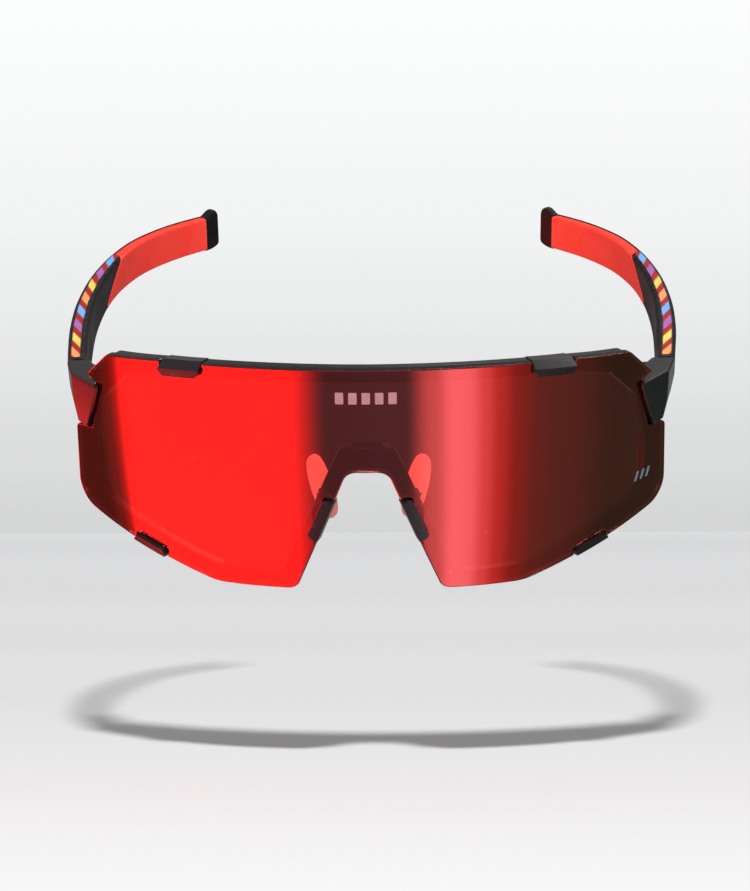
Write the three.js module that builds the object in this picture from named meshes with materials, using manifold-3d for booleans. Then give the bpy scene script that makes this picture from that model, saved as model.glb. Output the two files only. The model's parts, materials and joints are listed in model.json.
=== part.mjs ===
// Wraparound sport sunglasses: one mirrored shield lens held by six hooks on a full moulded rim,
// a clip-in nose bracket with two soft pads, and two curved temple arms on screwed barrel hinges.
//
// Everything is drawn in the worn position, in millimetres: X to the wearer's left ear, which is
// the viewer's right, Y back towards the ears, Z up, with the origin 2.1 above the top of the lens.
// The front is drawn flat in (u, v, z) and then wrapped round the head form: u runs along the brow,
// v up and z forward, so that the lens face is z = 0 and everything behind it has a negative z.
// The outermost group stands the glasses on a table, on the lens's lower edges and the ear tips.
import * as THREE from 'three';
import { mergeVertices } from 'three/addons/utils/BufferGeometryUtils.js';
import Module from 'manifold-3d';

const wasm = await Module();
wasm.setup();

// ---------------------------------------------------------------- driving dimensions
const wrapRadius = 97;            // lens curve round the head
const browRadius = 272;           // lens curve from brow to cheek
const browCentre = -29;           // height where the lens stands furthest forward
const lensTilt = THREE.MathUtils.degToRad(4);
const lensThick = 2.0;
const fitGap = 0.12;              // clearance between moulded parts that snap together
const rimThick = 2.6;
const rimFront = -(lensThick + fitGap);
const rimBack = rimFront - rimThick;
const wrapStep = 5;               // size of the flats that make up the wrapped surfaces
const browStep = 10;
const wallShift = 0.0137;         // keeps the cell walls off the corners of the drawing

// Half outlines of the front, each corner as [u, v, corner radius], from the brow round to the nose.
const lensTop = -2.1, rimTop = -2.6, windowTop = -5.9;
const browEnd = 66.0;             // where the brow line meets the corner
const browPower = 2.1;
const lensCorners = [
  [browEnd, -8.1, 3], [73.8, -15.6, 0.6], [69.8, -16.9, 0.5], [73.0, -29.4, 0.8],
  [79.2, -30.4, 1.2], [80.4, -51.2, 7], [37.5, -62.0, 14], [17.3, -60.5, 3.2], [4.7, -27.6, 3.2],
];
const rimCorners = [
  [browEnd, -8.6, 3], [73.6, -16.0, 2], [78.9, -31.0, 3],
  [80.1, -51.1, 7], [37.5, -61.7, 14], [17.7, -60.1, 3.2], [4.9, -27.5, 3.2],
];
const windowCorners = [
  [61.0, -12.3, 3], [69.5, -20.4, 3], [73.2, -33.0, 5],
  [73.6, -47.6, 6], [36.8, -57.6, 12], [21.3, -56.8, 3], [6.2, -21.6, 3.2],
];

// Hooks: [u, v] on the lens edge, direction of the edge in degrees, length along it; how far each
// stands outside the edge, how far in its lip starts and ends, and how far forward it stands.
const browHook = { at: [44.2, -4.7], turn: -7.0, length: 10.8, above: 0.1, from: 1.1, lip: 2.9, proud: 1.4 };
const cheekHook = { at: [55.9, -57.38], turn: 194.1, length: 9.4, above: 0.3, from: 0.4, lip: 2.1, proud: 1.1 };
const noseHook = { at: [9.68, -40.57], turn: 110.9, length: 11.4, above: 0.5, from: 0.1, lip: 2.8, proud: 1.3 };
const lipThick = 1.15;
const hookThrough = 1.9;          // depth of the notch that a hook sits in

// Nose bracket and pads, at +X.
const bracketThick = 1.6;
const bracketFront = rimBack - fitGap;
const bracketBack = bracketFront - bracketThick;
const clipHalf = 3.4;
const padLong = 22, padWide = 8.5, padThick = 3.0;
const padAt = new THREE.Vector3(9.8, 16.6, -37.6);      // middle of the bearing face
const padFacing = new THREE.Vector3(-0.80, 0.50, 0.33).normalize();
const padUp = new THREE.Vector3(-0.27, -0.12, 1);
const pegRadius = 1.0, pegLong = 1.5;
const padInset = 2.0;             // the arm meets the pad this far ahead of its middle

// Hinge, on the wearer's side at +X.
const pin = { x: 66.6, y: 41.5 };
const knuckleRadius = 2.3;
const hingeTop = -18.3, hingeBottom = -27.5;
const midTop = -21.3, midBottom = -24.7;
const washerThick = 0.3, washerGap = 0.1;
const screwRadius = 0.7, screwHead = 1.35, headDeep = 0.9;
const sleeveRadius = 1.3, boreSlack = 0.08;
const seamY = 38.9, seamGap = 0.15;

// Temple arm stations: distance back, outer face, thickness, top edge, height.
const armStations = [
  [seamY + seamGap, 73.3, 4.4, -15.2, 12.3],
  [48, 74.4, 4.9, -15.1, 11.6],
  [62, 75.8, 5.0, -14.9, 10.5],
  [77, 76.4, 4.9, -14.8, 9.6],
  [92.5, 75.7, 4.6, -14.75, 9.3],
  [105, 74.0, 4.2, -14.8, 9.5],
  [115.5, 71.8, 3.8, -15.1, 9.9],
  [126, 68.7, 3.5, -15.6, 10.2],
  [135, 64.9, 3.3, -16.3, 10.3],
  [144, 59.9, 3.2, -17.1, 10.3],
  [152, 54.1, 3.2, -17.9, 10.2],
  [158.5, 48.6, 3.2, -18.6, 10.0],
];
const armSteps = 30;
const tipLength = 9.0, tipFlare = 1.6, tipCut = 1.6;
const frontTuck = 1.6, tuckEnd = 0.13;      // the front of the arm narrows towards its lower edge
const shellThick = 1.0;                     // the arm's outer wall behind the grip
const gripStart = 0.385, gripFull = 0.52;   // shares of the arm's length, at its lower and upper edges
const gripMargin = 0.3, gripProud = 0.15;
const stripStart = 0.022, stripEnd = 0.53, stripDeep = 0.4;
const stripEdges = [0.75, 3.5];             // how far in from the outer face

// How the glasses stand on a table: leaning back, on the rim's lower corners and the two tips.
const restLean = THREE.MathUtils.degToRad(12.992);
const restHeight = 62.25;

// ---------------------------------------------------------------- materials
const colours = {
  lens: [0xd0181c, 0.05, 0.9], frame: [0x1b191a, 0.35, 0], bracket: [0x1b191a, 0.45, 0],
  pad: [0xe8423c, 0.6, 0], arm: [0x1d1b1c, 0.5, 0], grip: [0xe8301f, 0.65, 0],
  tip: [0x121112, 0.7, 0], strip: [0xb8402c, 0.4, 0], steel: [0xb9bcc0, 0.3, 1],
  brass: [0xc7a24a, 0.35, 1], nylon: [0xe6e2d8, 0.6, 0],
};
const materials = Object.fromEntries(Object.entries(colours).map(([name, [color, roughness, metalness]]) =>
  [name, new THREE.MeshStandardMaterial({ color, roughness, metalness })]));

// ---------------------------------------------------------------- solids
function toSolid(geometry) {
  const bare = new THREE.BufferGeometry().setAttribute('position', geometry.getAttribute('position').clone());
  if (geometry.index) bare.setIndex(geometry.index.clone());
  const merged = mergeVertices(bare, 1e-4);
  return new wasm.Manifold(new wasm.Mesh({
    numProp: 3,
    vertProperties: new Float32Array(merged.attributes.position.array),
    triVerts: new Uint32Array(merged.index.array),
  }));
}

function toGeometry(solid) {
  const mesh = solid.getMesh();
  return new THREE.BufferGeometry()
    .setAttribute('position', new THREE.BufferAttribute(new Float32Array(mesh.vertProperties), 3))
    .setIndex(new THREE.BufferAttribute(new Uint32Array(mesh.triVerts), 1));
}

const join = (...solids) => solids.reduce((all, next) => all.add(next));
const cut = (body, ...tools) => tools.reduce((all, next) => all.subtract(next), body);
const moved = (geometry, x, y, z) => geometry.translate(x, y, z);

// A closed body from rings of equal length, capped flat at both ends.
function ringBody(rings) {
  const count = rings[0].length;
  const positions = rings.flat().flatMap((p) => [p.x, p.y, p.z]);
  const index = [];
  for (let i = 0; i < rings.length - 1; i++) {
    for (let j = 0; j < count; j++) {
      const a = i * count + j;
      const b = i * count + ((j + 1) % count);
      index.push(a, b, a + count, b, b + count, a + count);
    }
  }
  const last = (rings.length - 1) * count;
  for (let j = 1; j < count - 1; j++) {
    index.push(0, j + 1, j);
    index.push(last, last + j, last + j + 1);
  }
  return new THREE.BufferGeometry()
    .setAttribute('position', new THREE.BufferAttribute(new Float32Array(positions), 3))
    .setIndex(index);
}

// A cylinder on a vertical axis, from one height to another.
function post(radius, x, y, bottom, top, sides = 24) {
  const geometry = new THREE.CylinderGeometry(radius, radius, top - bottom, sides);
  return toSolid(moved(geometry.rotateX(Math.PI / 2), x, y, (bottom + top) / 2));
}

function block(x0, x1, y0, y1, z0, z1) {
  const geometry = new THREE.BoxGeometry(x1 - x0, y1 - y0, z1 - z0);
  return toSolid(moved(geometry, (x0 + x1) / 2, (y0 + y1) / 2, (z0 + z1) / 2));
}

// ---------------------------------------------------------------- outlines
// Rounds each corner [u, v, radius] of a polygon with an arc.
function rounded(corners) {
  return corners.flatMap(([u, v, radius], i) => {
    const at = new THREE.Vector2(u, v);
    if (!radius) return [at];
    const before = corners[(i + corners.length - 1) % corners.length];
    const after = corners[(i + 1) % corners.length];
    const back = new THREE.Vector2(before[0], before[1]).sub(at).normalize();
    const ahead = new THREE.Vector2(after[0], after[1]).sub(at).normalize();
    const half = Math.acos(THREE.MathUtils.clamp(back.dot(ahead), -1, 1)) / 2;
    const reach = radius / Math.tan(half);
    const centre = at.clone().addScaledVector(back.clone().add(ahead).normalize(), radius / Math.sin(half));
    const from = at.clone().addScaledVector(back, reach).sub(centre);
    const sweep = from.angleTo(at.clone().addScaledVector(ahead, reach).sub(centre));
    const side = Math.sign(back.cross(ahead));
    const steps = Math.max(1, Math.ceil(sweep / 0.35));
    return Array.from({ length: steps + 1 }, (_, k) =>
      centre.clone().add(from.clone().rotateAround(new THREE.Vector2(), -side * sweep * k / steps)));
  });
}

// The whole outline: brow curve, then the half's corners, then their mirror images.
function frontOutline(half, top) {
  const drop = top - half[0][1];
  const brow = [];
  for (let u = -48; u <= 48; u += 12) brow.push([u, top - drop * Math.abs(u / browEnd) ** browPower, 0]);
  const mirrored = half.map(([u, v, r]) => [-u, v, r]).reverse();
  return rounded([...brow, ...half, ...mirrored]);
}

// Moves an outline outwards all round.
function grown(points, by) {
  const count = points.length;
  return points.map((p, i) => {
    const along = points[(i + 1) % count].clone().sub(points[(i + count - 1) % count]).normalize();
    return new THREE.Vector2(p.x - along.y * by, p.y + along.x * by);
  });
}

// A flat plate of the outline between two depths, front and back.
function plate(points, front, back) {
  const geometry = new THREE.ExtrudeGeometry(new THREE.Shape(points), { depth: front - back, bevelEnabled: false });
  return toSolid(moved(geometry, 0, 0, back));
}

// ---------------------------------------------------------------- wrapping
const fromWall = (value, step) => Math.abs((value - wallShift) / step - Math.round((value - wallShift) / step)) * step;
const onWall = (p) => fromWall(p.x, wrapStep) < 1e-4 || fromWall(p.y, browStep) < 1e-4;

// Splits triangles wherever a corner of a neighbour lies part way along one of their edges.
function stitched(triangles) {
  const wallCorners = new Map();
  triangles.flat().filter(onWall).forEach((p) => wallCorners.set(p.toArray().join(), p));
  const candidates = [...wallCorners.values()];
  const split = (triangle) => {
    for (let k = 0; k < 3; k++) {
      const [a, b, c] = [triangle[k], triangle[(k + 1) % 3], triangle[(k + 2) % 3]];
      if (!onWall(a) || !onWall(b)) continue;
      const length = a.distanceTo(b);
      const middle = candidates.find((p) => p.distanceTo(a) > 1e-4 && p.distanceTo(b) > 1e-4
        && p.distanceTo(a) + p.distanceTo(b) < length + 1e-7);
      if (middle) return [...split([a, middle, c]), ...split([middle, b, c])];
    }
    return [triangle];
  };
  return triangles.flatMap(split);
}

// Cuts a solid into cells and drops the walls between them, so that every face can bend.
function celled(solid) {
  const { min, max } = new THREE.Box3().setFromBufferAttribute(toGeometry(solid).getAttribute('position'));
  const triangles = [];
  for (let i = Math.floor(min.x / wrapStep) - 1; i * wrapStep < max.x; i++) {
    for (let j = Math.floor(min.y / browStep) - 1; j * browStep < max.y; j++) {
      const x = i * wrapStep + wallShift;
      const y = j * browStep + wallShift;
      const cell = solid.intersect(block(x, x + wrapStep, y, y + browStep, -20, 20));
      const at = toGeometry(cell).toNonIndexed().getAttribute('position');
      for (let k = 0; k < at.count; k += 3) {
        const corners = [0, 1, 2].map((n) => new THREE.Vector3().fromBufferAttribute(at, k + n)
          .multiplyScalar(1e5).round().divideScalar(1e5));
        const flat = (axis, step) => corners.every((p) => fromWall(p[axis], step) < 1e-4)
          && Math.abs(corners[0][axis] - corners[1][axis]) + Math.abs(corners[0][axis] - corners[2][axis]) < 1e-3;
        if (!flat('x', wrapStep) && !flat('y', browStep)) triangles.push(corners);
      }
    }
  }
  const positions = stitched(triangles).flat().flatMap((p) => p.toArray());
  return new THREE.BufferGeometry()
    .setAttribute('position', new THREE.BufferAttribute(new Float32Array(positions), 3));
}

// Where a flat point (u, v, z) lies once the front is wrapped and tilted.
function wrapPoint(p) {
  const angle = p.x / wrapRadius;
  const radius = wrapRadius + p.z;
  const brow = ((p.y - browCentre) ** 2 - browCentre ** 2) / (2 * browRadius);
  return new THREE.Vector3(radius * Math.sin(angle), wrapRadius - radius * Math.cos(angle) + brow, p.y)
    .applyAxisAngle(new THREE.Vector3(1, 0, 0), lensTilt);
}

function wrapped(solid) {
  const geometry = celled(solid);
  const position = geometry.getAttribute('position');
  const point = new THREE.Vector3();
  for (let i = 0; i < position.count; i++) {
    const at = wrapPoint(point.fromBufferAttribute(position, i));
    position.setXYZ(i, at.x, at.y, at.z);
  }
  return toSolid(geometry);
}

// ---------------------------------------------------------------- lens and rim
// A plate drawn beside a lens edge: x along the edge, y into the lens.
function beside(hook, corners, front, back, mirror) {
  const turn = THREE.MathUtils.degToRad(hook.turn);
  const points = rounded(corners).map((p) => {
    const at = new THREE.Vector2(p.x, -p.y).rotateAround(new THREE.Vector2(), turn);
    return new THREE.Vector2(mirror * (hook.at[0] + at.x), hook.at[1] + at.y);
  });
  return plate(points, front, back);
}

const hooks = [browHook, cheekHook, noseHook].flatMap((hook) => [1, -1].map((mirror) => ({ hook, mirror })));

// A hook is a bar of this side profile, [y, z], trimmed to the face's outline.
function hookBody({ hook, mirror }) {
  const half = hook.length / 2;
  const { above, from, lip, proud } = hook;
  const under = proud - lipThick;
  const profile = [[0.4, rimBack + 0.2], [-above, -1.4], [from, proud], [lip, proud], [lip, under],
    [hookThrough, under], [hookThrough, rimBack + 0.2]];
  const turn = THREE.MathUtils.degToRad(hook.turn);
  const ring = (x) => profile.map(([y, z]) => {
    const at = new THREE.Vector2(x, -y).rotateAround(new THREE.Vector2(), turn);
    return new THREE.Vector3(mirror * (hook.at[0] + at.x), hook.at[1] + at.y, z);
  });
  const rings = mirror > 0 ? [ring(-half), ring(half)] : [ring(half), ring(-half)];
  const face = [[-half, -2, 0.3], [half, -2, 0.3], [half - 0.1, lip - 1.1, 0.3], [half - 1.0, lip, 0.4],
    [1.0 - half, lip, 0.4], [0.1 - half, lip - 1.1, 0.3]];
  return toSolid(ringBody(rings)).intersect(beside(hook, face, proud + 1, rimBack, mirror));
}

function hookNotch({ hook, mirror }) {
  const half = hook.length / 2 + 0.2;
  const deep = hookThrough + 0.2;
  return beside(hook, [[-half, -4, 0], [half, -4, 0], [half, deep, 0.4], [-half, deep, 0.4]], 1, -5, mirror);
}

function lensBody() {
  const sheet = plate(frontOutline(lensCorners, lensTop), 0, -lensThick);
  return wrapped(cut(sheet, ...hooks.map(hookNotch)));
}

function rimBody() {
  const outer = plate(frontOutline(rimCorners, rimTop), rimFront, rimBack);
  const window = plate(frontOutline(windowCorners, windowTop), 1, rimBack - 1);
  return wrapped(join(cut(outer, window), ...hooks.map(hookBody)));
}

// ---------------------------------------------------------------- end pieces and hinges
// The end piece comes through the lens at the temple and runs back to the seam with the arm.
const endTop = -15.2;
const endRings = [
  { z: -27.4, at: [[67.6, 26.6], [70.0, 30.2], [71.7, seamY], [67.6, seamY], [63.9, 31.6]] },
  { z: -22.0, at: [[65.9, 24.1], [70.9, 30.4], [72.9, seamY], [67.4, seamY], [62.5, 30.2]] },
  { z: endTop - 0.5, at: [[64.1, 22.3], [71.0, 30.4], [73.2, seamY], [67.4, seamY], [61.4, 28.6]] },
  { z: endTop, at: [[64.5, 22.9], [70.6, 30.5], [72.8, seamY], [67.9, seamY], [62.2, 28.9]] },
];

function endPiece() {
  const rings = endRings.map(({ z, at }) => at.map(([x, y]) => new THREE.Vector3(x, y, z)));
  return toSolid(ringBody(rings));
}

function frameKnuckle(bottom, top) {
  const arm = block(pin.x - knuckleRadius, pin.x + knuckleRadius, 33, pin.y, bottom, top);
  return join(post(knuckleRadius, pin.x, pin.y, bottom, top), arm);
}

function frameHinge() {
  const slot = washerThick + 2 * washerGap;
  const lower = frameKnuckle(hingeBottom, midBottom - slot);
  const upper = frameKnuckle(midTop + slot, hingeTop);
  const screwHole = post(screwRadius + boreSlack, pin.x, pin.y, hingeBottom - 1, hingeTop + 1);
  const headSeat = post(screwHead + boreSlack, pin.x, pin.y, hingeTop - headDeep - boreSlack, hingeTop + 1);
  const insertSeat = post(sleeveRadius + boreSlack, pin.x, pin.y, hingeBottom - 1, midBottom - slot + 1);
  return { body: join(lower, upper, endPiece()), holes: [screwHole, headSeat, insertSeat] };
}

const mirrorX = (solid) => {
  const geometry = toGeometry(solid).scale(-1, 1, 1);
  const index = geometry.index.array;
  for (let i = 0; i < index.length; i += 3) [index[i], index[i + 1]] = [index[i + 1], index[i]];
  return toSolid(geometry);
};

function frontFrame() {
  const { body, holes } = frameHinge();
  const lensRoom = wrapped(plate(grown(frontOutline(lensCorners, lensTop), 0.3), 0.3, -lensThick - 0.05));
  const rightEnd = cut(body, lensRoom, ...holes);
  return join(rimBody(), rightEnd, mirrorX(rightEnd));
}

function hingeScrew() {
  const shank = post(screwRadius, pin.x, pin.y, hingeBottom + 0.3, hingeTop - headDeep / 2);
  const head = post(screwHead, pin.x, pin.y, hingeTop - headDeep, hingeTop - 0.1);
  const slotA = block(pin.x - 0.85, pin.x + 0.85, pin.y - 0.17, pin.y + 0.17, hingeTop - 0.55, hingeTop + 1);
  const slotB = block(pin.x - 0.17, pin.x + 0.17, pin.y - 0.85, pin.y + 0.85, hingeTop - 0.55, hingeTop + 1);
  return cut(join(shank, head), slotA, slotB);
}

function ring(outer, bottom, top) {
  return cut(
    post(outer, pin.x, pin.y, bottom, top),
    post(screwRadius + boreSlack, pin.x, pin.y, bottom - 1, top + 1),
  );
}

const lowerKnuckleTop = midBottom - washerThick - 2 * washerGap;
const threadedInsert = () => ring(sleeveRadius, hingeBottom + 0.1, lowerKnuckleTop - 0.1);
const hingeSleeve = () => ring(sleeveRadius, midBottom + 0.05, midTop - 0.05);
const lowerWasher = () => ring(knuckleRadius - 0.1, midBottom - washerGap - washerThick, midBottom - washerGap);
const upperWasher = () => ring(knuckleRadius - 0.1, midTop + washerGap, midTop + washerGap + washerThick);

// ---------------------------------------------------------------- temple arm
const lerpStations = (share) => {
  const at = share * (armStations.length - 1);
  const i = Math.min(Math.floor(at), armStations.length - 2);
  const t = at - i;
  const p = [i - 1, i, i + 1, i + 2].map((k) => armStations[THREE.MathUtils.clamp(k, 0, armStations.length - 1)]);
  return p[1].map((_, k) => {
    const [a, b, c, d] = p.map((row) => row[k]);
    return b + 0.5 * t * (c - a + t * (2 * a - 5 * b + 4 * c - d + t * (3 * (b - c) + d - a)));
  });
};

// A point of the arm: share along it, distance in from its outer face, height below its top edge.
function armPoint(share, inward, down) {
  const [y, x, , top] = lerpStations(share);
  const before = lerpStations(Math.max(share - 0.01, 0));
  const after = lerpStations(Math.min(share + 0.01, 1));
  const along = new THREE.Vector2(after[1] - before[1], after[0] - before[0]).normalize();
  return new THREE.Vector3(x - along.y * inward, y + along.x * inward, top - down);
}

const armLength = armStations.at(-1)[0] - armStations[0][0];
const tipShare = 1 - tipLength / (armLength * 1.25);

// The tip swells upwards and is cut away below.
function tipShape(share) {
  const t = THREE.MathUtils.clamp((share - tipShare) / (1 - tipShare), 0, 1);
  return { rise: tipFlare * Math.sin(Math.PI * Math.min(t * 0.85, 1)) ** 1.5, cut: tipCut * t * t };
}

// The arm's outline at a station, with chamfered edges, as [inward, down] pairs.
function armSection(share) {
  const [, , t, , height] = lerpStations(share);
  const edge = Math.min(1.1, t * 0.3);
  const { rise, cut: low } = tipShape(share);
  const a = -rise;
  const h = height - low;
  const tuck = frontTuck * Math.max(0, 1 - share / tuckEnd);
  return [
    [0, a + edge], [edge * 0.35, a + edge * 0.3], [edge * 1.1, a], [t - edge * 1.1, a],
    [t - edge * 0.3, a + edge * 0.4], [t, a + edge * 1.2], [t, h - edge], [t - edge * 0.35, h - edge * 0.3], [t - edge, h], [tuck + edge, h],
    [tuck + edge * 0.35, h - edge * 0.3], [tuck * 0.9, h - edge],
  ];
}

function armBody(from, to, steps) {
  const rings = [];
  for (let i = 0; i <= steps; i++) {
    const share = from + (to - from) * i / steps;
    rings.push(armSection(share).map(([inward, down]) => armPoint(share, inward, down)).reverse());
  }
  return toSolid(ringBody(rings));
}

// Soft inner half of the arm, its front end cut on a slant. A seat for it is open on three sides.
function gripBody(isSeat) {
  const rings = [];
  const steps = 22;
  const grow = isSeat ? 0.12 : 0;
  for (let i = 0; i <= steps; i++) {
    const past = grow * 0.015 * (i === steps ? 1 : i === 0 ? -1 : 0);
    const share = THREE.MathUtils.lerp(gripStart, tipShare - 0.002, i / steps) + past;
    const [, , thick, , height] = lerpStations(share);
    const rise = THREE.MathUtils.clamp((share - gripStart) / (gripFull - gripStart), 0, 1);
    const slanted = THREE.MathUtils.lerp(height - gripMargin - 1.2, gripMargin, rise);
    const open = isSeat ? 1.5 : 0;
    const low = height - gripMargin + open;
    const high = rise < 1 ? slanted - grow : gripMargin - open;
    const inner = thick + gripProud + open;
    const ease = isSeat ? 0.01 : 0.55;
    rings.push([[inner - ease, high], [shellThick - grow, high], [shellThick - grow, low], [inner - ease, low],
      [inner, low - ease], [inner, high + ease]].map(([inward, down]) => armPoint(share, inward, down)));
  }
  return toSolid(ringBody(rings));
}

// The outer wall runs on into the tip as a flat tongue.
function armTongue(grow) {
  const rings = [];
  for (let i = 0; i <= 3; i++) {
    const share = THREE.MathUtils.lerp(tipShare - 0.006, 1 - 0.016 + grow * 0.006, i / 3);
    const [outer, inner, high, low] = [0.35 - grow, 0.95 + grow, 2.6 - grow, 6.6 + grow];
    rings.push([[outer, low], [inner, low], [inner, high], [outer, high]]
      .map(([inward, down]) => armPoint(share, inward, down)));
  }
  return toSolid(ringBody(rings));
}

// Printed strip let into the arm's top face.
function stripeStrip(grow) {
  const rings = [];
  const steps = 16;
  for (let i = 0; i <= steps; i++) {
    const past = grow * 0.01 * (i === steps ? 1 : i === 0 ? -1 : 0);
    const share = THREE.MathUtils.lerp(stripStart, stripEnd, i / steps) + past;
    const [outer, inner] = [stripEdges[0] - grow, Math.min(stripEdges[1], lerpStations(share)[2] - 1.0) + grow];
    const top = grow ? -1 : 0.05;
    rings.push([[inner, top], [outer, top + (grow ? 0 : 0.15)], [outer, stripDeep + grow], [inner, stripDeep + grow]]
      .map(([inward, down]) => armPoint(share, inward, down)));
  }
  return toSolid(ringBody(rings));
}

function templeArm() {
  const blade = cut(armBody(0, tipShare, armSteps), stripeStrip(0.06), gripBody(true));
  const knuckle = join(
    post(knuckleRadius, pin.x, pin.y, midBottom, midTop),
    block(pin.x, pin.x + 4.0, pin.y - 1.6, pin.y + 1.9, midBottom, midTop),
  );
  const sleeveHole = post(sleeveRadius + boreSlack, pin.x, pin.y, midBottom - 1, midTop + 1);
  return cut(join(blade, knuckle, armTongue(0)), sleeveHole);
}

const templeGrip = () => gripBody(false);
const templeTip = () => cut(armBody(tipShare + 0.0015, 1, 8), armTongue(0.1));

// ---------------------------------------------------------------- nose bracket and pads
const bracketCorners = [[5.6, -22.1, 2.5], [15.6, -45.0, 1.2], [12.6, -46.2, 1.2], [5.2, -27.6, 2.5]];

// Places a solid drawn with the bearing face at z = 0, facing -z, and the pad's length along y.
function onPad(geometry) {
  const away = padFacing.clone().negate();
  const up = padUp.clone().addScaledVector(away, -padUp.dot(away)).normalize();
  const basis = new THREE.Matrix4().makeBasis(up.clone().cross(away), up, away).setPosition(padAt);
  return toSolid(geometry.applyMatrix4(basis));
}

function padDisc(shrink, front, back) {
  const outline = new THREE.Shape().absellipse(0, 0, padWide / 2 - shrink, padLong / 2 - shrink, 0, 2 * Math.PI);
  const geometry = new THREE.ExtrudeGeometry(outline, {
    depth: back - front - 1.6, curveSegments: 14,
    bevelEnabled: true, bevelSize: shrink, bevelThickness: 0.8, bevelSegments: 3,
  });
  return geometry.translate(0, 0, front + 0.8);
}

const peg = (radius, from, to) => new THREE.CylinderGeometry(radius, radius, to - from, 16)
  .rotateX(Math.PI / 2).translate(-padInset, 0, (from + to) / 2);

function nosePad() {
  const hole = onPad(peg(pegRadius + 0.06, padThick - pegLong - 0.1, padThick + 1));
  return cut(onPad(padDisc(0.9, 0, padThick)), hole);
}

function padArm() {
  const pin = onPad(peg(pegRadius, padThick - pegLong, padThick + 0.6));
  const root = [[-1.3, 2.2], [1.3, 2.2], [1.3, -2.8], [-1.3, -2.8]];
  const tip = [[-1.1, 1.7], [1.1, 1.7], [1.1, -1.7], [-1.1, -1.7]];
  const stub = ringBody([
    root.map(([x, z]) => wrapPoint(new THREE.Vector3(10.9 + x, -36.4 + z, bracketFront - 0.4))),
    tip.map(([x, z]) => new THREE.Vector3(10.7 + x, 14.2, -39.4 + z)),
  ]);
  const padRoom = moved(new THREE.BoxGeometry(40, 40, 10), 0, 0, padThick + 0.08 - 5);
  return join(pin, cut(toSolid(stub), onPad(padRoom)));
}

// A flat strip across the middle of the front, between two heights and two depths.
const strip = (bottom, top, front, back) => plate(
  [[-clipHalf, bottom], [clipHalf, bottom], [clipHalf, top], [-clipHalf, top]].map(([u, v]) => new THREE.Vector2(u, v)),
  front, back,
);

function noseBracket() {
  const mirrored = bracketCorners.map(([u, v, r]) => [-u, v, r]).reverse();
  const yoke = plate(rounded([...bracketCorners, ...mirrored]), bracketFront, bracketBack);
  const clip = strip(-22.4, -20.4, bracketFront + 0.2, bracketBack);
  const latch = strip(-21.45, -20.4, rimFront - 0.4, bracketBack);
  const body = cut(join(yoke, clip), plate(frontOutline(rimCorners, rimTop), 1, bracketFront));
  return join(wrapped(join(body, latch)), padArm(), mirrorX(padArm()));
}

// ---------------------------------------------------------------- assembly
const worn = new THREE.Group();
const glasses = new THREE.Group();
glasses.add(worn);
worn.rotation.x = -restLean;
worn.position.z = restHeight;

// The table, seen from the worn position: it shaves a small flat on everything that rests on it.
const table = (() => {
  const geometry = moved(new THREE.BoxGeometry(200, 260, 40), 0, 70, -20 - restHeight);
  return toSolid(geometry.rotateX(restLean));
})();

function place(name, solid, material) {
  const mesh = new THREE.Mesh(toGeometry(solid), materials[material]);
  mesh.name = name;
  worn.add(mesh);
}

place('lens', cut(lensBody(), table), 'lens');
place('front_frame', cut(frontFrame(), table), 'frame');
place('nose_bracket', noseBracket(), 'bracket');

const sideParts = {
  nose_pad: [nosePad, 'pad'],
  hinge_screw: [hingeScrew, 'steel'],
  threaded_insert: [threadedInsert, 'brass'],
  hinge_sleeve: [hingeSleeve, 'nylon'],
  upper_washer: [upperWasher, 'nylon'],
  lower_washer: [lowerWasher, 'nylon'],
  temple_arm: [() => cut(templeArm(), table), 'arm'],
  stripe_strip: [() => stripeStrip(0), 'strip'],
  temple_grip: [templeGrip, 'grip'],
  temple_tip: [() => cut(templeTip(), table), 'tip'],
};
for (const [name, [make, material]] of Object.entries(sideParts)) {
  place(`${name}_left`, make(), material);
  place(`${name}_right`, mirrorX(make()), material);
}

// The origin goes under the middle of the whole outline.
worn.updateMatrixWorld(true);
const outline = new THREE.Box3().setFromObject(glasses, true);
worn.position.y -= (outline.min.y + outline.max.y) / 2;

export default glasses;
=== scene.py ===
# Wraparound sport sunglasses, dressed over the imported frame.
# Worn coordinates are millimetres: x to the wearer's left, y back, z up, zero above the lens's top centre.
import json
import math
from contextlib import contextmanager

import bmesh
import bpy
import numpy as np
from mathutils import Matrix, Vector

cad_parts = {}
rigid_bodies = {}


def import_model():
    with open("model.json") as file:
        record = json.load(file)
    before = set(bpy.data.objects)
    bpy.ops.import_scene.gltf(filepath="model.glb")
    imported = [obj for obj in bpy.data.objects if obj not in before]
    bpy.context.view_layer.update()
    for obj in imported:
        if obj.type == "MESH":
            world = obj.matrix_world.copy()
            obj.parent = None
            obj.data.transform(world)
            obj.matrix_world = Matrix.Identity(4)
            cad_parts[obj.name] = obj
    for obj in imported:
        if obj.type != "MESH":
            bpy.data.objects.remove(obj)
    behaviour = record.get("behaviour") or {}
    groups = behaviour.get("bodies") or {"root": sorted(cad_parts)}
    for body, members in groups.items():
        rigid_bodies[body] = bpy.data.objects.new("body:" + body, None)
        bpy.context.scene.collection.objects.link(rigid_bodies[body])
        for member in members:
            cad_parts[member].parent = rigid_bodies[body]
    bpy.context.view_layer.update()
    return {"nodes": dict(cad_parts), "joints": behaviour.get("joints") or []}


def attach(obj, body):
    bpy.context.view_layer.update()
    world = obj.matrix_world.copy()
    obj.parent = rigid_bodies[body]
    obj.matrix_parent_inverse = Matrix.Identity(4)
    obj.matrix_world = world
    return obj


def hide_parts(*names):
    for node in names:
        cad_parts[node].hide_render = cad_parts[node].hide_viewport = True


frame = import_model()
scene = bpy.context.scene
print("frame loaded:", len(frame["nodes"]), "parts")

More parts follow.
